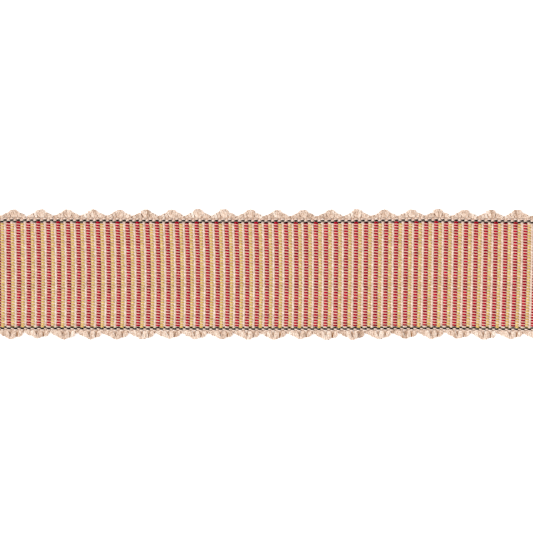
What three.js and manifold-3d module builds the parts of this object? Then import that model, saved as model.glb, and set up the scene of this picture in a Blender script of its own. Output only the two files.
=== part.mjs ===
// A flat cut length of tape trim, lying face up: a band with ribs across it, a black
// accent yarn along each side, and a scalloped edge of fanned yarn beyond each of those.
// X runs along the tape, Y across it and Z up. Lengths are in millimetres.
import * as THREE from "three";
import { mergeVertices } from "three/addons/utils/BufferGeometryUtils.js";
import Module from "manifold-3d";

// The weave's repeat, which sets the length: the ribs come in stripes of three
const RIB_PITCH = 1.894;
const RIBS_PER_STRIPE = 3;
const STRIPES = 56;
const RIBS = STRIPES * RIBS_PER_STRIPE;
const LENGTH = RIBS * RIB_PITCH;

// Across the tape, from its middle line
const ACCENT_LINE = 30.5;
const ACCENT_WIDTH = 0.8;
const ACCENT_SWAY = 0.3;
const GAP = 0.3;
const BAND_HALF = ACCENT_LINE - ACCENT_SWAY - ACCENT_WIDTH / 2 - GAP;
const SELVEDGE = 0.6;
const RIBBED_HALF = BAND_HALF - SELVEDGE;
const STRIP_INNER = ACCENT_LINE + ACCENT_SWAY + ACCENT_WIDTH / 2 + GAP;
const STRIP_WIDTH = 1.3;

// Heights above the surface that the tape lies on
const VALLEY_HEIGHT = 1.35;
const RIB_HEIGHT = 1.9;
const CREAM_RIB_HEIGHT = 2.05;
const SELVEDGE_HEIGHT = 1.0;
const ACCENT_HEIGHT = 1.6;
const ACCENT_TOP_WIDTH = 0.45;
const STRIP_HEIGHT = 1.6;
const LOCK_ROOT_HEIGHT = 1.3;
const LOCK_BELLY_HEIGHT = 1.5;
const LOCK_TIP_HEIGHT = 0.8;

// A rib's crown is flat between these two shares of its pitch
const CROWN_FROM = 0.3;
const CROWN_TO = 0.7;

// Where the ribs get points across the band, as shares of its ribbed half width
const RIB_ROWS = [-1, -0.38, 0.38, 1];

// A plain edge has a point at every fourth rib
const RIBS_PER_EDGE_STEP = 4;

// How the tape lies. drift moves it sideways. skew and bow move a rib's ends along the
// tape, skew one way at each end and bow alike. fans moves the upper fans along it.
const LIE = [
  { along: -160, drift: 0.24, skew: -0.2, bow: -0.1, fans: 0.0 },
  { along: -120, drift: 0.14, skew: -0.15, bow: -0.45, fans: 0.9 },
  { along: -65, drift: -0.08, skew: -0.26, bow: -0.66, fans: -0.2 },
  { along: -20, drift: -0.15, skew: -0.25, bow: -0.5, fans: -0.9 },
  { along: 25, drift: -0.17, skew: 0.05, bow: -0.35, fans: -0.9 },
  { along: 54, drift: 0.0, skew: 0.3, bow: -0.15, fans: -0.5 },
  { along: 78, drift: 0.27, skew: 0.4, bow: 0.0, fans: 0.2 },
  { along: 100, drift: 0.17, skew: 0.45, bow: -0.15, fans: 0.2 },
  { along: 124, drift: -0.24, skew: 0.65, bow: -0.2, fans: 0.2 },
  { along: 160, drift: -0.4, skew: 0.75, bow: -0.45, fans: 0.0 },
];

// A fan's locks. root and tip are places along the edge from the fan's middle, reach is
// how far the tip stands out from the accent yarn, and width is the widest.
const UPPER_FAN = {
  pitch: 15.18,
  first: 7.6,
  locks: [
    { root: -6.4, tip: -6.6, reach: 3.4, width: 1.7 },
    { root: -4.4, tip: -4.6, reach: 4.4, width: 1.7 },
    { root: -2.3, tip: -2.5, reach: 6.0, width: 1.8 },
    { root: 0.0, tip: -0.1, reach: 6.8, width: 2.0 },
    { root: 2.3, tip: 2.3, reach: 6.0, width: 1.8 },
    { root: 4.3, tip: 4.5, reach: 4.3, width: 1.7 },
    { root: 6.3, tip: 6.5, reach: 3.3, width: 1.6 },
  ],
};
const LOWER_FAN = {
  pitch: 15.03,
  first: 4.6,
  locks: [
    { root: -6.7, tip: -7.0, reach: 3.4, width: 1.7 },
    { root: -4.7, tip: -5.0, reach: 4.6, width: 1.7 },
    { root: -2.7, tip: -3.0, reach: 5.4, width: 1.7 },
    { root: -0.7, tip: -0.9, reach: 6.4, width: 1.8 },
    { root: 1.3, tip: 1.2, reach: 6.4, width: 1.8 },
    { root: 3.4, tip: 3.6, reach: 5.6, width: 1.8 },
    { root: 5.4, tip: 5.7, reach: 4.7, width: 1.7 },
  ],
};
const ROOT_DEPTH = 0.8;
const ROOT_WIDTH = 1.2;
const BELLY_AT = 0.68;
const TIP_WIDTH = 0.85;
const UNEVEN_REACH = 0.3;
const UNEVEN_LEAN = 0.12;

// Materials
const COLOURS = {
  ribbed_band: 0xd4a58c,
  accent_yarn: 0x2d282b,
  scallop_edge: 0xe2c6b0,
};
const YARN_ROUGHNESS = 0.85;

// A value from LIE at a place along the tape, straight between its rows
function lieAt(along, column) {
  let row = 1;
  while (row < LIE.length - 1 && LIE[row].along < along) row += 1;
  const before = LIE[row - 1];
  const after = LIE[row];
  const share = (along - before.along) / (after.along - before.along);
  return before[column] + share * (after[column] - before[column]);
}

// A point of the band, with the bend of its ribs
function bandPoint(along, across, height) {
  const side = across / BAND_HALF;
  const bend = lieAt(along, "skew") * side + lieAt(along, "bow") * side * side;
  return new THREE.Vector3(along + bend, across + lieAt(along, "drift"), height);
}

// A point beyond the band: side is 1 on the upper edge and -1 on the lower one
function edgePoint(along, out, height, side) {
  return new THREE.Vector3(along, side * out + lieAt(along, "drift"), height);
}

// An unevenness between -1 and 1 that is always the same for the same two numbers
function uneven(index, kind) {
  const swing = Math.sin(index * 12.9898 + kind * 78.233) * 43758.5453;
  return 2 * (swing - Math.floor(swing)) - 1;
}

// Triangles between two rails, which run the same way but may differ in points
function zip(a, b, triangles) {
  let i = 0;
  let j = 0;
  while (i < a.length - 1 || j < b.length - 1) {
    const nextA = i < a.length - 1 ? a[i].at + a[i + 1].at : Infinity;
    const nextB = j < b.length - 1 ? b[j].at + b[j + 1].at : Infinity;
    if (nextA <= nextB) {
      triangles.push(a[i].index, b[j].index, a[i + 1].index);
      i += 1;
    } else {
      triangles.push(a[i].index, b[j].index, b[j + 1].index);
      j += 1;
    }
  }
}

// A closed solid skinned over rails that lie round it, with a flat cap at each end.
// Each rail is a list of points; the rails are given anticlockwise, seen from the end.
function skin(rails) {
  const points = rails.flat();
  const triangles = [];
  let index = 0;
  const numbered = rails.map((rail) =>
    rail.map((point, step) => ({ index: index++, at: step / (rail.length - 1) })));
  numbered.forEach((rail, n) => zip(rail, numbered[(n + 1) % rails.length], triangles));
  const starts = numbered.map((rail) => rail[0].index);
  const ends = numbered.map((rail) => rail[rail.length - 1].index);
  for (let n = 1; n < rails.length - 1; n += 1) {
    triangles.push(starts[0], starts[n + 1], starts[n]);
    triangles.push(ends[0], ends[n], ends[n + 1]);
  }
  const geometry = new THREE.BufferGeometry().setFromPoints(points);
  geometry.setIndex(triangles);
  return geometry;
}

// Places along the tape at a plain edge's points
function plainPlaces() {
  const steps = RIBS / RIBS_PER_EDGE_STEP;
  return Array.from({ length: steps + 1 }, (_, n) => (n / steps - 0.5) * LENGTH);
}

// Along and height of the ribs' profile: a valley, then the rib's flat crown
function ribProfile() {
  const profile = [];
  for (let rib = 0; rib < RIBS; rib += 1) {
    const start = rib * RIB_PITCH - LENGTH / 2;
    const isCream = rib % RIBS_PER_STRIPE === RIBS_PER_STRIPE - 1;
    const crown = isCream ? CREAM_RIB_HEIGHT : RIB_HEIGHT;
    profile.push({ along: start, height: VALLEY_HEIGHT });
    profile.push({ along: start + CROWN_FROM * RIB_PITCH, height: crown });
    profile.push({ along: start + CROWN_TO * RIB_PITCH, height: crown });
  }
  profile.push({ along: LENGTH / 2, height: VALLEY_HEIGHT });
  return profile;
}

// The woven band: flat below, ribbed on top, and lower along its two selvedges
function ribbedBand() {
  const profile = ribProfile();
  const ribRail = (row) =>
    profile.map((p) => bandPoint(p.along, row * RIBBED_HALF, p.height));
  const plainRail = (across, height) =>
    plainPlaces().map((along) => bandPoint(along, across, height));
  return skin([
    plainRail(-BAND_HALF, 0),
    plainRail(BAND_HALF, 0),
    plainRail(BAND_HALF, SELVEDGE_HEIGHT),
    ...RIB_ROWS.toReversed().map(ribRail),
    plainRail(-BAND_HALF, SELVEDGE_HEIGHT),
  ]);
}

// The black yarn, which sways out over one rib and in over the next
function accentYarn(side) {
  const places = [{ along: -LENGTH / 2, sway: 0 }];
  for (let rib = 0; rib < RIBS; rib += 1) {
    const along = (rib + 0.5) * RIB_PITCH - LENGTH / 2;
    places.push({ along, sway: rib % 2 === 0 ? ACCENT_SWAY : -ACCENT_SWAY });
  }
  places.push({ along: LENGTH / 2, sway: 0 });
  const rail = (offset, height) => places.map((p) =>
    bandPoint(p.along, side * (ACCENT_LINE + p.sway) + offset, height));
  return skin([
    rail(-ACCENT_WIDTH / 2, 0),
    rail(ACCENT_WIDTH / 2, 0),
    rail(ACCENT_TOP_WIDTH / 2, ACCENT_HEIGHT),
    rail(-ACCENT_TOP_WIDTH / 2, ACCENT_HEIGHT),
  ]);
}

// The narrow strip that holds the roots of one edge's locks
function rootStrip(side) {
  const rail = (out, height) =>
    plainPlaces().map((along) => edgePoint(along, out, height, side));
  const rails = [
    rail(STRIP_INNER, 0),
    rail(STRIP_INNER + STRIP_WIDTH, 0),
    rail(STRIP_INNER + STRIP_WIDTH, STRIP_HEIGHT),
    rail(STRIP_INNER, STRIP_HEIGHT),
  ];
  return skin(side > 0 ? rails : rails.toReversed());
}

// One lock: three sides, flat below, with a ridge on top, widest at its belly
function lock(shape, middle, number, side) {
  const reach = shape.reach + UNEVEN_REACH * uneven(number, side);
  const lean = UNEVEN_LEAN * uneven(number, 2 * side);
  const from = STRIP_INNER + STRIP_WIDTH - ROOT_DEPTH;
  const to = ACCENT_LINE + reach;
  const stations = [
    { share: 0, width: ROOT_WIDTH, height: LOCK_ROOT_HEIGHT },
    { share: BELLY_AT, width: shape.width, height: LOCK_BELLY_HEIGHT },
    { share: 1, width: TIP_WIDTH, height: LOCK_TIP_HEIGHT },
  ];
  const rail = (aside, isTop) => stations.map((s) => {
    const along = middle + shape.root + s.share * (shape.tip + lean - shape.root);
    const out = from + s.share * (to - from);
    return edgePoint(along + aside * s.width / 2, out, isTop ? s.height : 0, side);
  });
  const rails = [rail(-1, false), rail(1, false), rail(0, true)];
  return skin(side > 0 ? rails.toReversed() : rails);
}

// Every lock of one edge that lies whole within the cut length
function edgeLocks(fan, side) {
  const locks = [];
  const count = Math.ceil(LENGTH / fan.pitch) + 1;
  for (let n = -count / 2; n <= count / 2; n += 1) {
    const even = fan.first + Math.round(n) * fan.pitch;
    const middle = even + (side > 0 ? lieAt(even, "fans") : 0);
    fan.locks.forEach((shape, index) => {
      const place = Math.abs(middle + shape.tip) + shape.width / 2 + UNEVEN_LEAN;
      const number = Math.round(n) * fan.locks.length + index;
      if (place < LENGTH / 2) locks.push(lock(shape, middle, number, side));
    });
  }
  return locks;
}

// A closed geometry as a solid that can be joined
function solidOf(geometry, wasm) {
  const merged = mergeVertices(geometry);
  const vertProperties = Float32Array.from(merged.attributes.position.array);
  const triVerts = Uint32Array.from(merged.index.array);
  return new wasm.Manifold(new wasm.Mesh({ numProp: 3, vertProperties, triVerts }));
}

function geometryOf(solid) {
  const mesh = solid.getMesh();
  const geometry = new THREE.BufferGeometry();
  const positions = new THREE.BufferAttribute(mesh.vertProperties, mesh.numProp);
  geometry.setAttribute("position", positions);
  geometry.setIndex(Array.from(mesh.triVerts));
  return geometry;
}

// The strip with its locks fused to it at their roots
function scallopEdge(fan, side, wasm) {
  const strip = solidOf(rootStrip(side), wasm);
  const locks = edgeLocks(fan, side).map((geometry) => solidOf(geometry, wasm));
  return geometryOf(locks.reduce((whole, next) => whole.add(next), strip));
}

function piece(name, geometry, colour) {
  const material = new THREE.MeshStandardMaterial({
    color: colour,
    roughness: YARN_ROUGHNESS,
    metalness: 0,
  });
  const mesh = new THREE.Mesh(geometry, material);
  mesh.name = name;
  return mesh;
}

const wasm = await Module();
wasm.setup();

const tapeTrim = new THREE.Group();
tapeTrim.add(
  piece("ribbed_band", ribbedBand(), COLOURS.ribbed_band),
  piece("accent_yarn_upper", accentYarn(1), COLOURS.accent_yarn),
  piece("accent_yarn_lower", accentYarn(-1), COLOURS.accent_yarn),
  piece("scallop_edge_upper", scallopEdge(UPPER_FAN, 1, wasm), COLOURS.scallop_edge),
  piece("scallop_edge_lower", scallopEdge(LOWER_FAN, -1, wasm), COLOURS.scallop_edge),
);

export default tapeTrim;
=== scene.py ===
"""The looks of a flat cut length of woven tape trim, made yarn by yarn.

X runs along the tape, Y across it and Z up. Sizes are in millimetres, and become metres
where a mesh is made. A rib is one weft pick, and ribs come in stripes of red, gold and
cream. Places along the tape are also given in ribs, counted from its left end.
"""

import math
from collections import namedtuple

import bpy
import numpy as np
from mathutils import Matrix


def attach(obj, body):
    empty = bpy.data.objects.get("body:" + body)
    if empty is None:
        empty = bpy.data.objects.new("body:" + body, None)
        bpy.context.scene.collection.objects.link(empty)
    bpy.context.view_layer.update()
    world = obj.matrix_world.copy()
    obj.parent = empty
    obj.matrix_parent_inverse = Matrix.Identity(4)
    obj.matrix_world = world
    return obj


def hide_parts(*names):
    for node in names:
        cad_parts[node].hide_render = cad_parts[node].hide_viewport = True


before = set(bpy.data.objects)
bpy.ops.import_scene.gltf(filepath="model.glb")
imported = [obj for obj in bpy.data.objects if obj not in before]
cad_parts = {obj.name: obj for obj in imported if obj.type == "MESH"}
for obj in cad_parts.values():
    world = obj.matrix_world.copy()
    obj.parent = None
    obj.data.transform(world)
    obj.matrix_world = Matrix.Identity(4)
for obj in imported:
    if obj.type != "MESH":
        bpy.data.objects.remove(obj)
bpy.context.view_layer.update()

MM = 0.001
SEED = 7
rng = np.random.default_rng(SEED)

# The weave's repeat
RIB_PITCH = 1.894
RIBS_PER_STRIPE = 3
RIBS = 56 * RIBS_PER_STRIPE
LENGTH = RIBS * RIB_PITCH
RED, GOLD, CREAM = range(RIBS_PER_STRIPE)

# Across the tape, from its middle line. The warp rows are counted from the upper side.
FIRST_ROW = 29.60
ROW_PITCH = 0.798
WARP_ROWS = 76
BAND_HALF = 29.5

# How the tape lies, measured on the photograph at ten places along it. drift moves it
# sideways and shift moves its ribs along it. skew and bow move a rib's ends along it, skew
# one way at each end and bow alike. fans moves the upper fans along it.
Lie = namedtuple("Lie", "along drift shift skew bow fans")
LIE = [
    Lie(-160, 0.26, 0.04, -0.20, -0.10, 0.0),
    Lie(-120, 0.16, 0.49, -0.15, -0.45, 0.9),
    Lie(-65, -0.08, 0.54, -0.26, -0.66, -0.2),
    Lie(-20, -0.15, 0.17, -0.25, -0.50, -0.9),
    Lie(25, -0.21, -0.34, 0.05, -0.35, -0.9),
    Lie(54, -0.11, -0.43, 0.30, -0.15, -0.5),
    Lie(78, 0.19, -0.34, 0.40, 0.00, 0.2),
    Lie(100, 0.28, -0.23, 0.45, -0.15, 0.2),
    Lie(124, -0.13, -0.34, 0.65, -0.20, 0.2),
    Lie(160, -0.36, -0.51, 0.75, -0.45, 0.0),
]
# Past this share of the band's half width a rib bends no further
BEND_LIMIT = 1.03

# The weft picks
PICK_MIDDLE = 0.90
PICK_HALF = 0.33
PICK_EDGE_HALF = 0.08
# Where a pick is full, as shares of its rib, and the number of points across the band
PICK_FULL = (0.3, 0.7)
GROUND_POINTS = 9

# The camera looks straight down at the part of the tape that the photograph shows
VIEW_WIDTH = 305.0
VIEW_MIDDLE = (0.84, 4.355)
CAMERA_HEIGHT = 1200.0
SENSOR = 36.0


def lie_at(along, column):
    places = [row.along for row in LIE]
    return np.interp(along, places, [getattr(row, column) for row in LIE])


def laid(along, across, height):
    """Points of the band, with the bend of its ribs and the drift of the tape."""
    side = np.clip(across / BAND_HALF, -BEND_LIMIT, BEND_LIMIT)
    bend = lie_at(along, "skew") * side + lie_at(along, "bow") * side**2
    bend = bend + lie_at(along, "shift")
    return np.stack([along + bend, across + lie_at(along, "drift"), height], axis=-1)


def from_left(ribs):
    """Millimetres from the tape's middle of a place given in ribs from its left end."""
    return ribs * RIB_PITCH - LENGTH / 2


def mesh_object(name, points, faces, material, maps=()):
    """A smooth mesh of faces given as arrays of equal-sided faces, with its maps."""
    mesh = bpy.data.meshes.new(name)
    sizes = np.concatenate([np.full(len(f), f.shape[1]) for f in faces])
    corners = np.concatenate([f.ravel() for f in faces])
    starts = np.concatenate([[0], np.cumsum(sizes)[:-1]])
    mesh.vertices.add(len(points))
    mesh.loops.add(len(corners))
    mesh.polygons.add(len(sizes))
    mesh.vertices.foreach_set("co", (points * MM).astype(np.float32).ravel())
    mesh.loops.foreach_set("vertex_index", corners.astype(np.int32))
    mesh.polygons.foreach_set("loop_start", starts.astype(np.int32))
    mesh.polygons.foreach_set("loop_total", sizes.astype(np.int32))
    for map_name, places in maps:
        layer = mesh.uv_layers.new(name=map_name)
        layer.uv.foreach_set("vector", places.astype(np.float32).ravel())
    mesh.update(calc_edges=True)
    mesh.polygons.foreach_set("use_smooth", np.full(len(sizes), True))
    mesh.materials.append(material)
    ob = bpy.data.objects.new(name, mesh)
    bpy.context.scene.collection.objects.link(ob)
    return ob


# Each tube has a cell of its own on the bake map. These are shares of that cell, along the
# tube and round it: the margin beside the sides' faces, a cap's half size, and where the
# caps' middles are.
CELL_MARGIN = np.array([0.02, 0.05])
CAP_HALF = np.array([0.005, 0.2])
CAP_MIDDLES = np.array([[0.01, 0.5], [0.99, 0.5]])


class Yarns:
    """Tubes that are joined into one piece. Each is closed at both ends."""

    def __init__(self, sides, columns=1):
        self.sides = sides
        self.columns = columns
        self.tubes = []

    def add(self, points, widths, thicknesses, tone=0.0, red_reflection=0.0):
        """A tube along points. Its width lies flat and its thickness stands up."""
        along = np.gradient(points, axis=0)
        along /= np.linalg.norm(along, axis=1, keepdims=True)
        aside = np.stack([-along[:, 1], along[:, 0], np.zeros(len(along))], axis=1)
        aside /= np.linalg.norm(aside, axis=1, keepdims=True)
        up = np.cross(along, aside)
        turn = np.pi * (0.5 + 2 * np.arange(self.sides) / self.sides)
        flat = np.cos(turn)[None, :, None] * np.reshape(widths, (-1, 1, 1)) / 2
        high = np.sin(turn)[None, :, None] * np.reshape(thicknesses, (-1, 1, 1)) / 2
        rings = points[:, None] + flat * aside[:, None] + high * up[:, None]
        each = np.ones((len(rings), self.sides))
        self.tubes.append((rings, tone * each, np.reshape(red_reflection, (-1, 1)) * each))

    def side_grid(self, steps):
        """The ring and the side that each side face of a tube starts from."""
        return np.meshgrid(np.arange(steps - 1), np.arange(self.sides), indexing="ij")

    def side_faces(self, steps):
        i, k = self.side_grid(steps)
        sides = self.sides
        ahead = (k + 1) % sides
        quads = np.stack([i * sides + k, i * sides + ahead,
                          (i + 1) * sides + ahead, (i + 1) * sides + k], axis=-1)
        return quads.reshape(-1, 4)

    def cap_faces(self, steps):
        rim = np.arange(self.sides)
        return [rim[::-1][None], (rim + (steps - 1) * self.sides)[None]]

    def side_places(self, rings):
        """Each side face's corners: millimetres along the tube, and round it from 0 to 1."""
        i, k = self.side_grid(len(rings))
        gone = np.linalg.norm(np.diff(rings.mean(axis=1), axis=0), axis=1)
        at = np.concatenate([[0], np.cumsum(gone)])
        u = np.stack([at[i], at[i], at[i + 1], at[i + 1]], axis=-1)
        v = np.stack([k, k + 1, k + 1, k], axis=-1) / self.sides
        return np.stack([u, v], axis=-1).reshape(-1, 2)

    def cell_places(self, n, places):
        """Places in the cell of tube n, as places on the whole bake map."""
        row, column = divmod(n, self.columns)
        rows = math.ceil(len(self.tubes) / self.columns)
        return (np.array([column, row]) + places) / [self.columns, rows]

    def cap_places(self):
        turn = 2 * np.pi * np.arange(self.sides) / self.sides
        rim = np.stack([np.cos(turn), np.sin(turn)], axis=1)
        return (CAP_MIDDLES[:, None] + rim * CAP_HALF).reshape(-1, 2)

    def build(self, name, material):
        sides, caps, yarn_map, bake_map, cap_bake, first = [], [], [], [], [], 0
        for n, (rings, _, _) in enumerate(self.tubes):
            sides.append(first + self.side_faces(len(rings)))
            caps += [first + cap for cap in self.cap_faces(len(rings))]
            places = self.side_places(rings)
            yarn_map.append(places)
            share = places / [places[:, 0].max(), 1]
            inside = CELL_MARGIN + (1 - 2 * CELL_MARGIN) * share
            bake_map.append(self.cell_places(n, inside))
            cap_bake.append(self.cell_places(n, self.cap_places()))
            first += len(rings) * self.sides
        rings, tones, red_reflections = zip(*self.tubes)
        points = np.concatenate([each.reshape(-1, 3) for each in rings])
        cap_yarn = np.zeros((len(caps) * self.sides, 2))
        maps = [("Yarn", np.concatenate([*yarn_map, cap_yarn])),
                ("OFBake", np.concatenate(bake_map + cap_bake))]
        faces = [np.concatenate(sides), np.concatenate(caps)]
        ob = mesh_object(name, points, faces, material, maps)
        for field, values in (("tone", tones), ("red_reflection", red_reflections)):
            shade = ob.data.attributes.new(field, "FLOAT", "POINT")
            shade.data.foreach_set("value", np.concatenate(values).ravel().astype(np.float32))
        return ob


# Materials

# A yarn's dark, middle and light colours, the painted shade colour that they are multiplied by
# where it lies lowest, and the shader's roughness, sheen and shine
Look = namedtuple("Look", "dark base light deep roughness sheen shine")
RED_LOOK = Look((0.11, 0.0, 0.004), (0.35, 0.0, 0.013), (0.70, 0.005, 0.045),
                (0.95, 0.45, 0.45), 0.65, 0.0, 0.05)
GOLD_LOOK = Look((0.43, 0.25, 0.05), (0.68, 0.435, 0.11), (0.86, 0.63, 0.21),
                 (0.92, 0.52, 0.38), 0.6, 0.03, 0.2)
CREAM_LOOK = Look((0.55, 0.39, 0.31), (0.77, 0.575, 0.465), (0.97, 0.86, 0.76),
                  (0.82, 0.48, 0.40), 0.7, 0.05, 0.2)
FAN_LOOK = Look((0.48, 0.31, 0.21), (0.80, 0.605, 0.48), (0.98, 0.87, 0.76),
                (0.48, 0.31, 0.17), 0.75, 0.05, 0.2)
BLACK_LOOK = Look((0.001, 0.001, 0.001), (0.005, 0.004, 0.004), (0.012, 0.009, 0.009),
                  (0.8, 0.8, 0.8), 0.7, 0.0, 0.08)
WHITE = (1.0, 1.0, 1.0, 1.0)
# Painted reflection: what cream is multiplied by between reds, for the red light that they
# throw on it
BETWEEN_REDS = (1.60, 0.87, 0.90)
# Heights between which a yarn goes from its deep shade to its full colour
DEEP_FROM, DEEP_TO = 0.7, 1.1
# Soft mottle through the whole tape, and how strongly it sets a yarn's tone
MOTTLE_PER_METRE = 950.0
MOTTLE_SPREAD, MOTTLE_START = 1.5, -0.25
# Fine fibres, stretched along the yarn, and how strongly they show in it
FIBRE_STRETCH = (0.9, 7.0, 1.0)
FIBRE_SCALE = 2.0
FIBRE_TONE, FIBRE_RELIEF, FIBRE_ROUGHNESS = 0.5, 0.4, 0.2
# The twist of a yarn's plies. A groove is shaded where its ply is lower than GROOVE_TO.
TWIST_PITCH = 1.1
PLIES = 2
TWIST_DEPTH = 0.12
TWIST_STRENGTH = 0.7
GROOVE_SHADE = 0.7
GROOVE_TO = 0.6
SHEEN_ROUGHNESS = 0.6


class Graph:
    """The nodes of one material, each made in one call."""

    def __init__(self, material):
        material.use_nodes = True
        self.tree = material.node_tree
        self.shader = self.tree.nodes["Principled BSDF"]

    def add(self, kind, inputs, output=0, **settings):
        """Adds a node and returns one of its outputs. An input is a value or an output."""
        made = self.tree.nodes.new("ShaderNode" + kind)
        for name, value in settings.items():
            setattr(made, name, value)
        for key, value in inputs.items():
            self.feed(made.inputs[key], value)
        return made.outputs[output]

    def feed(self, socket, value):
        if isinstance(value, bpy.types.NodeSocket):
            self.tree.links.new(value, socket)
        else:
            socket.default_value = value

    def shade(self, **values):
        """Feeds inputs of the shader, whose names are written here with underscores."""
        for name, value in values.items():
            self.feed(self.shader.inputs[name.replace("_", " ")], value)

    def math(self, operation, a, b=0.0, c=0.0):
        return self.add("Math", {0: a, 1: b, 2: c}, operation=operation)

    def mix(self, share, a, b, blend="MULTIPLY", clamp=False):
        return self.add("Mix", {0: share, 6: a, 7: b}, 2, data_type="RGBA",
                        blend_type=blend, clamp_result=clamp)

    def attribute(self, name):
        return self.add("Attribute", {}, "Fac", attribute_name=name)

    def ramp(self, fac, colours):
        made = self.tree.nodes.new("ShaderNodeValToRGB")
        stops = made.color_ramp.elements
        while len(stops) < len(colours):
            stops.new(0.5)
        for n, colour in enumerate(colours):
            stops[n].position = n / (len(colours) - 1)
            stops[n].color = (*colour, 1.0)
        self.tree.links.new(fac, made.inputs[0])
        return made.outputs[0]


def yarn_colour(g, look, place, fibres):
    """The yarn's colour: mottled, with a painted red reflection where it is cream between
    reds.
    """
    mottle = g.add("TexNoise", {"Vector": place, "Scale": MOTTLE_PER_METRE, "Detail": 2.0})
    part = g.math("MULTIPLY_ADD", mottle, MOTTLE_SPREAD, MOTTLE_START)
    part = g.math("ADD", part, g.attribute("tone"))
    part = g.math("MULTIPLY_ADD", g.math("SUBTRACT", fibres, 0.5), FIBRE_TONE, part)
    colour = g.ramp(part, [look.dark, look.base, look.light])
    return g.mix(g.attribute("red_reflection"), colour, (*BETWEEN_REDS, 1.0), clamp=True)


def deep_shade(g, look, place):
    """Painted shade: what the colour is multiplied by at each height, darkest where the yarn
    lies lowest.
    """
    height = g.add("SeparateXYZ", {0: place}, "Z")
    depth = g.add("MapRange", {0: height, 1: DEEP_FROM * MM, 2: DEEP_TO * MM})
    return g.mix(depth, (*look.deep, 1.0), WHITE, blend="MIX")


def ply_height(g, yarn):
    """The twisted plies, from 0 in the grooves between them to 1 on their backs."""
    along = g.add("SeparateXYZ", {0: yarn}, "X")
    around = g.add("SeparateXYZ", {0: yarn}, "Y")
    turns = g.math("MULTIPLY_ADD", around, float(PLIES), g.math("DIVIDE", along, TWIST_PITCH))
    return g.math("ABSOLUTE", g.math("SINE", g.math("MULTIPLY", turns, math.pi)))


def groove_shade(g, plies):
    groove = g.add("MapRange", {0: plies, 1: 0.0, 2: GROOVE_TO, 3: GROOVE_SHADE, 4: 1.0})
    return g.add("CombineColor", {0: groove, 1: groove, 2: groove})


def yarn_material(name, look):
    """Twisted yarn: mottled along its length, with painted shade where it dips and in the
    grooves between its plies, and with its plies raised.
    """
    material = bpy.data.materials.new(name)
    g = Graph(material)
    place = g.add("TexCoord", {}, "Object")
    yarn = g.add("UVMap", {}, uv_map="Yarn")
    stretched = g.add("Mapping", {"Vector": yarn, "Scale": FIBRE_STRETCH})
    fibres = g.add("TexNoise", {"Vector": stretched, "Scale": FIBRE_SCALE, "Detail": 3.0})
    plies = ply_height(g, yarn)
    colour = yarn_colour(g, look, place, fibres)
    colour = g.mix(1.0, colour, deep_shade(g, look, place))
    colour = g.mix(1.0, colour, groove_shade(g, plies))
    relief = g.math("MULTIPLY_ADD", fibres, FIBRE_RELIEF, plies)
    bump = g.add("Bump", {"Strength": TWIST_STRENGTH, "Distance": TWIST_DEPTH * MM,
                          "Height": relief})
    rough = g.math("MULTIPLY_ADD", fibres, FIBRE_ROUGHNESS, look.roughness)
    g.shade(Base_Color=colour, Normal=bump, Roughness=rough, Sheen_Weight=look.sheen,
            Sheen_Roughness=SHEEN_ROUGHNESS, Specular_IOR_Level=look.shine)
    return material


red = yarn_material("red_yarn", RED_LOOK)
gold = yarn_material("gold_yarn", GOLD_LOOK)
cream = yarn_material("cream_yarn", CREAM_LOOK)
fan_cream = yarn_material("fan_yarn", FAN_LOOK)
black = yarn_material("black_yarn", BLACK_LOOK)


# The weave

# A yarn's height and width where it shows on a rib
Float = namedtuple("Float", "height width")
Warp = namedtuple("Warp", "name first_row floats material")
WARPS = [
    Warp("warp_red", 0, {RED: Float(1.50, 1.36)}, red),
    Warp("warp_gold", 1, {GOLD: Float(1.52, 1.30)}, gold),
    Warp("warp_cream_a", 0, {GOLD: Float(1.55, 0.54), CREAM: Float(1.63, 1.08)}, cream),
    Warp("warp_cream_b", 1, {RED: Float(1.68, 0.50), CREAM: Float(1.63, 1.08)}, cream),
]
# Where the yarns of the band change places, in ribs: later than where a rib ends
TURNS = {0: 0.00, 1: 1.28, 2: 2.36, 3: 3.00}
# A warp yarn's thickness, and the most that it may be as a share of its width
THICKNESS = 0.56
FLATTEST = 0.65
# A float wider than WIDE is crowned. Its ends are lower and narrower than its middle.
WIDE = 0.7
CROWN_DROP = 0.05
CROWN_NARROW = 0.86
# How far a yarn dips between two floats of its own
DIP = 0.12
# A float's half length in ribs, and the yarn's height and width where it dives beside it
Bend = namedtuple("Bend", "half shoulder width")
BAND_BEND = Bend(0.32, 1.20, 0.60)
# A yarn dives this share of a rib before or after the ribs' border, and leans aside there
DIVE = 0.02
CROSS_ASIDE = 0.1
# Its height and width behind the picks, and how far past the outer ribs it is cut, in ribs
BACK = 0.32
BACK_WIDTH = 0.8
CUT_PAST = 0.1
CUT_WIDTH = 0.6
# How far rows lie aside on each kind of rib
RIB_ASIDE = {RED: 0.04, GOLD: -0.34, CREAM: -0.17}
EVEN, ODD = 0, 1
# The outermost rows lie low on the ribs that a black end crosses over, full and high on
# the others, and aside is how far out they lie there on red, gold and cream ribs
EdgeRow = namedtuple("EdgeRow", "over aside")
EDGE_ROWS = {0: EdgeRow(EVEN, (0.12, -0.15, 0.12)),
             WARP_ROWS - 1: EdgeRow(ODD, (0.14, -0.20, 0.12))}
EDGE_DROP = 0.22
EDGE_HEIGHT = 1.74
EDGE_WIDTH = 1.0
# Above this height a yarn shows on the face
FACE_FROM = 1.25
# The rows crowd in towards the band's edges
EDGE_CROWD = 0.28
EDGE_POWER = 8
# Spreads of the yarns' small unevenness. PLACE_SPREAD is in ribs, CUT_SPREAD is the most
# that an end is cut long or short, and WIDTH_SPREAD is a share of the width.
PLACE_SPREAD = 0.02
CUT_SPREAD = 0.15
HEIGHT_SPREAD = 0.02
ASIDE_SPREAD = 0.02
WIDTH_SPREAD = 0.03
BAND_TONES = 0.06
END_TONES = 0.05
# The lowest that a yarn's middle may lie, as a share of its thickness
LOWEST = 0.52
Station = namedtuple("Station", "at height width")


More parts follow.
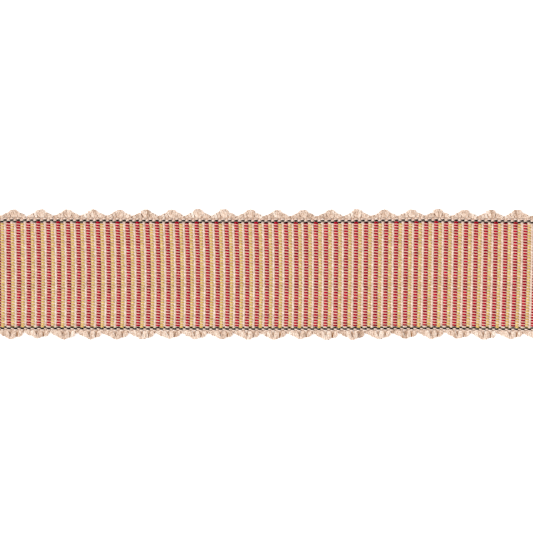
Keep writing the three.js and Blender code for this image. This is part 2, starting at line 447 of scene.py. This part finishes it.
def float_stations(middle, here, bend):
    """A yarn on one rib: crowned where it is wide, level where it is narrow, or behind."""
    if not here:
        return [Station(middle, BACK, BACK_WIDTH)]
    if here.width <= WIDE:
        return [Station(middle - bend.half, *here), Station(middle + bend.half, *here)]
    ends = here.height - CROWN_DROP, CROWN_NARROW * here.width
    return [Station(middle - bend.half, *ends), Station(middle, *here),
            Station(middle + bend.half, *ends)]


def border_station(border, here, ahead, bend):
    """A yarn between two ribs, if it shows on either, and which way it leans there."""
    if here and ahead:
        dip = min(here.height, ahead.height) - DIP
        return [Station(border, dip, (here.width + ahead.width) / 2)], []
    if here:
        return [Station(border - DIVE, bend.shoulder, bend.width)], [(border, -CROSS_ASIDE)]
    if ahead:
        return [Station(border + DIVE, bend.shoulder, bend.width)], [(border, CROSS_ASIDE)]
    return [], []


def woven_stations(floats, ribs_per_repeat=RIBS_PER_STRIPE, bend=BAND_BEND):
    """Where a warp yarn runs: over the ribs that it has a float for, behind the others."""
    stations, leans = [Station(-CUT_PAST, PICK_MIDDLE, CUT_WIDTH)], [(-CUT_PAST, 0.0)]
    for rib in range(RIBS):
        here = floats.get(rib % ribs_per_repeat)
        ahead = floats.get((rib + 1) % ribs_per_repeat)
        stations += float_stations(rib + 0.5, here, bend)
        if rib < RIBS - 1:
            between, lean = border_station(rib + 1, here, ahead, bend)
            stations += between
            leans += lean
    stations.append(Station(RIBS + CUT_PAST, PICK_MIDDLE, CUT_WIDTH))
    leans.append((RIBS + CUT_PAST, 0.0))
    stations = np.array(stations)
    aside = np.interp(stations[:, 0], *np.array(leans).T)
    return np.column_stack([stations, aside])


def rib_aside(at):
    ribs = np.arange(-1, RIBS + 1)
    return np.interp(at - 0.5, ribs, [RIB_ASIDE[rib % RIBS_PER_STRIPE] for rib in ribs])


def band_place(at):
    """Ribs along the band as drawn by the places where its yarns change."""
    whole = np.floor(at / RIBS_PER_STRIPE)
    part = np.interp(at - whole * RIBS_PER_STRIPE, list(TURNS), list(TURNS.values()))
    return whole * RIBS_PER_STRIPE + part


def lay_warp(yarns, stations, across, tone, between_reds=False):
    """Adds one warp yarn at a place across the tape, with small unevenness."""
    at, height, width, aside = stations.T
    n = len(at)
    along = from_left(at + rng.normal(0, PLACE_SPREAD, n))
    along[[0, -1]] += rng.uniform(-CUT_SPREAD, CUT_SPREAD, 2)
    height = np.maximum(height + rng.normal(0, HEIGHT_SPREAD, n), LOWEST * THICKNESS)
    wander = rng.normal(0, ASIDE_SPREAD, n)
    points = laid(along, across + aside + wander, height)
    width = width * rng.normal(1, WIDTH_SPREAD, n)
    # Cream on red ribs gets the painted red reflection of its red neighbours
    on_red = (np.floor(at) % RIBS_PER_STRIPE == RED) & (at < RIBS)
    thickness = np.minimum(THICKNESS, FLATTEST * width)
    yarns.add(points, width, thickness, tone, between_reds * on_red)


def beside_black(stations, edge, outward):
    """An outermost row: low on the ribs that the black end crosses over, full elsewhere."""
    stations = stations.copy()
    shown = stations[:, 1] > FACE_FROM
    rib = np.floor(stations[:, 0]).astype(int)
    under = rib % 2 == edge.over
    stations[shown & under, 1] -= EDGE_DROP
    clear = shown & ~under
    stations[clear, 1] = np.maximum(stations[clear, 1], EDGE_HEIGHT)
    stations[clear, 2] = np.maximum(stations[clear, 2], EDGE_WIDTH)
    aside = np.array(edge.aside)[rib % RIBS_PER_STRIPE]
    stations[clear, 3] += outward * aside[clear]
    return stations


def row_across(row):
    """A warp row's place across the tape, and which way is outward from it."""
    across = FIRST_ROW - row * ROW_PITCH
    outward = math.copysign(1, across)
    crowded = EDGE_CROWD * outward * abs(across / BAND_HALF) ** EDGE_POWER
    return across - crowded, outward


def band_yarns(warp):
    stations = woven_stations(warp.floats)
    stations[:, 3] += rib_aside(stations[:, 0])
    yarns = Yarns(sides=5)
    for row in range(warp.first_row, WARP_ROWS, 2):
        across, outward = row_across(row)
        here = stations.copy()
        if row in EDGE_ROWS:
            here = beside_black(stations, EDGE_ROWS[row], outward)
        here[:, 0] = band_place(here[:, 0])
        between_reds = warp.material == cream and row not in EDGE_ROWS
        lay_warp(yarns, here, across, rng.normal(0, BAND_TONES), between_reds)
    return yarns.build(warp.name, warp.material)


def grid_faces(index):
    corners = [index[:-1, :-1], index[1:, :-1], index[1:, 1:], index[:-1, 1:]]
    return np.stack(corners, axis=-1).reshape(-1, 4)


def wall_faces(upper, lower):
    return np.stack([upper[:-1], lower[:-1], lower[1:], upper[1:]], axis=-1)


def ground_cloth():
    """The weft picks, beaten together into one ribbed sheet between the warp's layers."""
    rib = np.arange(RIBS)
    full_from, full_to = PICK_FULL
    at = np.concatenate([np.stack([rib, rib + full_from, rib + full_to], 1).ravel(), [RIBS]])
    half = np.concatenate([np.tile([PICK_EDGE_HALF, PICK_HALF, PICK_HALF], RIBS),
                           [PICK_EDGE_HALF]])
    rows = np.linspace(-BAND_HALF, BAND_HALF, GROUND_POINTS)
    along = np.broadcast_to(from_left(at[:, None]), (len(at), len(rows)))
    across = np.broadcast_to(rows, along.shape)
    top = laid(along, across, np.broadcast_to(PICK_MIDDLE + half[:, None], along.shape))
    low = laid(along, across, np.broadcast_to(PICK_MIDDLE - half[:, None], along.shape))
    points = np.concatenate([top.reshape(-1, 3), low.reshape(-1, 3)])
    index = np.arange(along.size).reshape(along.shape)
    below = index + along.size
    faces = [grid_faces(index), grid_faces(below)[:, ::-1],
             wall_faces(index[:, 0], below[:, 0]),
             wall_faces(index[:, -1], below[:, -1])[:, ::-1],
             wall_faces(index[0], below[0])[:, ::-1],
             wall_faces(index[-1], below[-1])]
    return mesh_object("weft_ground", points, [np.concatenate(faces)], cream)


# Warp yarns of the edges, in plain weave: where they lie and which ribs they cross over
End = namedtuple("End", "across over")
ACCENT_ENDS = {"upper": [End(29.66, EVEN), End(30.62, ODD)],
               "lower": [End(-30.45, ODD), End(-31.24, EVEN)]}
SELVEDGE_ENDS = {"upper": [End(30.62, EVEN), End(31.60, ODD)],
                 "lower": [End(-31.30, ODD), End(-32.05, EVEN)]}
ACCENT_FLOAT = Float(1.74, 1.06)
SELVEDGE_FLOAT = Float(1.58, 0.95)
END_BEND = Bend(0.28, 0.98, 0.60)
# How far along the edges' crossings lie from the band's, in ribs
END_SHIFT = 0.16
# A pick's run out of the band: its width, thickness and height at each distance out
# Where a pick end lies low it takes the painted deep shade
PickEnd = namedtuple("PickEnd", "out width thickness middle")
PICK_END = [
    PickEnd(28.90, 1.80, 0.6, 0.85),
    PickEnd(29.90, 1.94, 0.7, 0.88),
    PickEnd(31.20, 1.94, 0.7, 0.80),
    PickEnd(31.80, 1.80, 0.6, 0.66),
    PickEnd(32.60, 1.60, 0.7, 0.68),
    PickEnd(33.15, 0.90, 0.4, 0.62),
]


def plain_ends(name, ends, shown, material):
    """Warp yarns that cross over one rib and under the next, beside each other."""
    yarns = Yarns(sides=6)
    for end in ends:
        stations = woven_stations({end.over: shown}, 2, END_BEND)
        stations[1:-1, 0] += END_SHIFT
        stations[:, 3] = 0.0
        lay_warp(yarns, stations, end.across, rng.normal(0, END_TONES))
    return yarns.build(name, material)


def pick_ends(name, side):
    """The weft picks where they leave the band and run out to the fans."""
    yarns = Yarns(sides=6, columns=8)
    out, width, thickness, middle = np.array(PICK_END).T
    for rib in range(RIBS):
        along = np.full(len(out), from_left(rib + 0.5 + END_SHIFT))
        height = middle + rng.normal(0, HEIGHT_SPREAD)
        points = laid(along, side * out, height)
        width_here = width * rng.normal(1, WIDTH_SPREAD)
        yarns.add(points, width_here, thickness, rng.normal(0, BAND_TONES))
    return yarns.build(name, fan_cream)


# The fans of yarn loops along both edges

# tip and root are offsets from the middle of the loop's fan, and out is how far out it
# reaches from the tape's middle line. layer is the height that it lies at.
Loop = namedtuple("Loop", "tip root out layer")
# side is 1 for the upper edge and -1 for the lower one. The first fan's middle is at first.
Fan = namedtuple("Fan", "side pitch first loops")
# Loops of the DEEP layer lie low enough to take the full painted deep shade, so they show as
# brown gaps between lobes
HIGH, MID, LOW, DEEP = 1.18, 0.92, 0.68, 0.42
UPPER_FAN = Fan(1, 15.18, 7.6, [
    Loop(-7.55, -6.3, 33.00, LOW), Loop(-6.70, -5.6, 33.42, HIGH),
    Loop(-5.80, -4.9, 33.65, LOW), Loop(-5.05, -4.0, 34.33, HIGH),
    Loop(-4.15, -3.2, 34.50, LOW), Loop(-3.35, -2.2, 34.98, HIGH),
    Loop(-2.00, -1.2, 34.70, DEEP), Loop(-2.50, 0.3, 35.85, MID),
    Loop(-1.75, 0.4, 36.52, HIGH), Loop(-0.85, 0.5, 36.55, LOW),
    Loop(0.05, 0.7, 36.85, HIGH), Loop(0.90, 0.8, 36.60, LOW),
    Loop(1.75, 1.0, 36.50, HIGH), Loop(2.45, 1.2, 35.70, MID),
    Loop(2.80, 2.5, 34.50, DEEP), Loop(3.35, 3.7, 34.90, HIGH),
    Loop(4.15, 4.1, 34.60, LOW), Loop(5.05, 4.6, 34.38, HIGH),
    Loop(5.85, 5.0, 33.85, LOW), Loop(6.70, 5.5, 33.38, HIGH),
])
LOWER_FAN = Fan(-1, 15.03, 4.6, [
    Loop(-7.45, -6.4, 33.50, LOW), Loop(-6.70, -5.8, 33.80, HIGH),
    Loop(-5.90, -5.2, 33.93, LOW), Loop(-5.20, -4.8, 34.60, HIGH),
    Loop(-4.45, -4.4, 34.80, LOW), Loop(-3.75, -3.9, 35.38, HIGH),
    Loop(-3.05, -3.4, 35.30, LOW), Loop(-2.35, -2.9, 35.80, HIGH),
    Loop(-1.60, -2.5, 36.20, MID), Loop(-0.85, -2.1, 36.75, HIGH),
    Loop(-0.05, -1.8, 36.95, MID), Loop(0.10, 0.0, 35.40, DEEP),
    Loop(0.80, 1.6, 37.05, HIGH), Loop(1.60, 1.9, 36.70, LOW),
    Loop(2.35, 2.2, 36.50, HIGH), Loop(3.05, 2.6, 36.00, MID),
    Loop(3.80, 3.7, 35.85, DEEP), Loop(4.40, 4.4, 35.75, DEEP),
    Loop(4.85, 5.7, 36.00, HIGH), Loop(5.55, 5.9, 35.55, LOW),
    Loop(6.00, 6.0, 35.25, MID), Loop(6.55, 6.2, 34.70, HIGH),
])
# All loops start at this distance from the tape's middle line, and at this height
LOOP_ROOT = 32.15
ROOT_HEIGHT = 0.85
STRAND = 0.70
STRAND_HEIGHT = 0.6
# Half the width of a loop, and the share of it that the loop has at its root. The loop is
# fully open at one over LOOP_OPENS of its straight sides.
LOOP_HALF = 0.38
LOOP_NARROW = 0.35
LOOP_OPENS = 2.2
# How far the tip droops, and the points on each straight side and round the tip
DROOP = 0.08
SIDE_POINTS = 5
TIP_POINTS = 6
# Spreads of the fans' unevenness. FAN_UNEVEN is one stretch for all of a fan's loops.
FAN_UNEVEN = 0.05
TIP_SPREAD = 0.12
LAYER_SPREAD = 0.03
LOOP_TONES = 0.16
# A loop is left out if its tip would lie nearer than this to an end of the tape
END_CLEAR = 0.8


def loop_path(angle, length, layer):
    """One loop from its root, as (aside, out, height): out, round its tip and back."""
    straight = np.linspace(0, 1, SIDE_POINTS)
    opening = np.minimum(1, straight * LOOP_OPENS)
    spread = LOOP_HALF * (LOOP_NARROW + (1 - LOOP_NARROW) * opening)
    reach = straight * (length - LOOP_HALF)
    turn = np.linspace(0, np.pi, TIP_POINTS)[1:-1]
    tip = length - LOOP_HALF + LOOP_HALF * np.sin(turn)
    aside = np.concatenate([-spread, -LOOP_HALF * np.cos(turn), spread[::-1]])
    out = np.concatenate([reach, tip, reach[::-1]])
    share = np.clip(out / length, 0, 1)
    height = layer + (ROOT_HEIGHT - layer) * (1 - share) ** 2 - DROOP * share**4
    height = np.maximum(height, STRAND_HEIGHT / 2)
    c, s = math.cos(angle), math.sin(angle)
    return aside * c + out * s, out * c - aside * s, height


def add_loop(yarns, side, root, lean, out, layer):
    angle = math.atan2(lean, out)
    layer = layer + rng.normal(0, LAYER_SPREAD)
    aside, out, height = loop_path(angle, math.hypot(lean, out), layer)
    along = root + aside
    across = side * (LOOP_ROOT + out) + lie_at(along, "drift")
    points = np.stack([along, across, height], axis=1)
    yarns.add(points, STRAND, STRAND_HEIGHT, rng.normal(0, LOOP_TONES))


def fans(name, fan):
    yarns = Yarns(sides=6, columns=24)
    count = math.ceil(LENGTH / fan.pitch / 2) + 1
    for n in range(-count, count + 1):
        middle = fan.first + n * fan.pitch
        if fan is UPPER_FAN:
            middle += lie_at(middle, "fans")
        stretch = rng.normal(1, FAN_UNEVEN)
        for loop in fan.loops:
            if abs(middle + loop.tip) < LENGTH / 2 - END_CLEAR:
                lean = loop.tip - loop.root + rng.normal(0, TIP_SPREAD)
                out = stretch * (loop.out - LOOP_ROOT) + rng.normal(0, TIP_SPREAD)
                add_loop(yarns, fan.side, middle + loop.root, lean, out, loop.layer)
    return yarns.build(name, fan_cream)


# The pieces

ground = ground_cloth()
warps = [band_yarns(warp) for warp in WARPS]
accents = {edge: plain_ends("accent_ends_" + edge, ends, ACCENT_FLOAT, black)
           for edge, ends in ACCENT_ENDS.items()}
edges = {
    edge: [plain_ends("selvedge_ends_" + edge, SELVEDGE_ENDS[edge], SELVEDGE_FLOAT, cream),
           pick_ends("pick_ends_" + edge, fan.side),
           fans("fan_loops_" + edge, fan)]
    for edge, fan in (("upper", UPPER_FAN), ("lower", LOWER_FAN))
}

for ob in [ground, *warps]:
    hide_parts("ribbed_band")
for edge, ob in accents.items():
    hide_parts("accent_yarn_" + edge)
for edge, obs in edges.items():
    for ob in obs:
        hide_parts("scallop_edge_" + edge)
everything = [ground, *warps, *accents.values(), *edges["upper"], *edges["lower"]]
for ob in everything:
    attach(ob, "root")


# The floor, light and camera

FLOOR_HALF = 3000.0
PAPER_DARK, PAPER_LIGHT = (0.93,) * 3, (0.96,) * 3
PAPER_GRAIN_PER_METRE = 90.0
PAPER_GLOW = 0.4
WORLD_STRENGTH = 0.92
SUN_STRENGTH = 1.95
SUN_ANGLE = math.radians(14)
# The sun comes from the left of the picture, this far from straight above
SUN_TILT = math.radians(-48)


def pale_floor():
    mesh = bpy.data.meshes.new("floor")
    half = FLOOR_HALF * MM
    mesh.from_pydata([(-half, -half, 0), (half, -half, 0), (half, half, 0), (-half, half, 0)],
                     [], [(0, 1, 2, 3)])
    floor = bpy.data.objects.new("floor", mesh)
    bpy.context.scene.collection.objects.link(floor)
    material = bpy.data.materials.new("floor_paper")
    g = Graph(material)
    place = g.add("TexCoord", {}, "Object")
    grain = g.add("TexNoise", {"Vector": place, "Scale": PAPER_GRAIN_PER_METRE, "Detail": 3.0})
    g.shade(Base_Color=g.ramp(grain, [PAPER_DARK, PAPER_LIGHT]), Emission_Color=WHITE,
            Emission_Strength=PAPER_GLOW, Roughness=0.9, Specular_IOR_Level=0.1)
    mesh.materials.append(material)


def soft_light():
    world = bpy.data.worlds.new("studio")
    bpy.context.scene.world = world
    world.use_nodes = True
    background = world.node_tree.nodes["Background"]
    background.inputs["Color"].default_value = WHITE
    background.inputs["Strength"].default_value = WORLD_STRENGTH
    sun = bpy.data.lights.new("key", "SUN")
    sun.energy = SUN_STRENGTH
    sun.angle = SUN_ANGLE
    key = bpy.data.objects.new("key", sun)
    key.rotation_euler = (0, SUN_TILT, 0)
    bpy.context.scene.collection.objects.link(key)


def camera():
    data = bpy.data.cameras.new("camera")
    data.sensor_width = SENSOR
    data.lens = SENSOR * CAMERA_HEIGHT / VIEW_WIDTH
    ob = bpy.data.objects.new("camera", data)
    ob.location = (VIEW_MIDDLE[0] * MM, VIEW_MIDDLE[1] * MM, CAMERA_HEIGHT * MM)
    bpy.context.scene.collection.objects.link(ob)
    bpy.context.scene.camera = ob


pale_floor()
soft_light()
camera()
bpy.context.scene.view_settings.view_transform = "Standard"
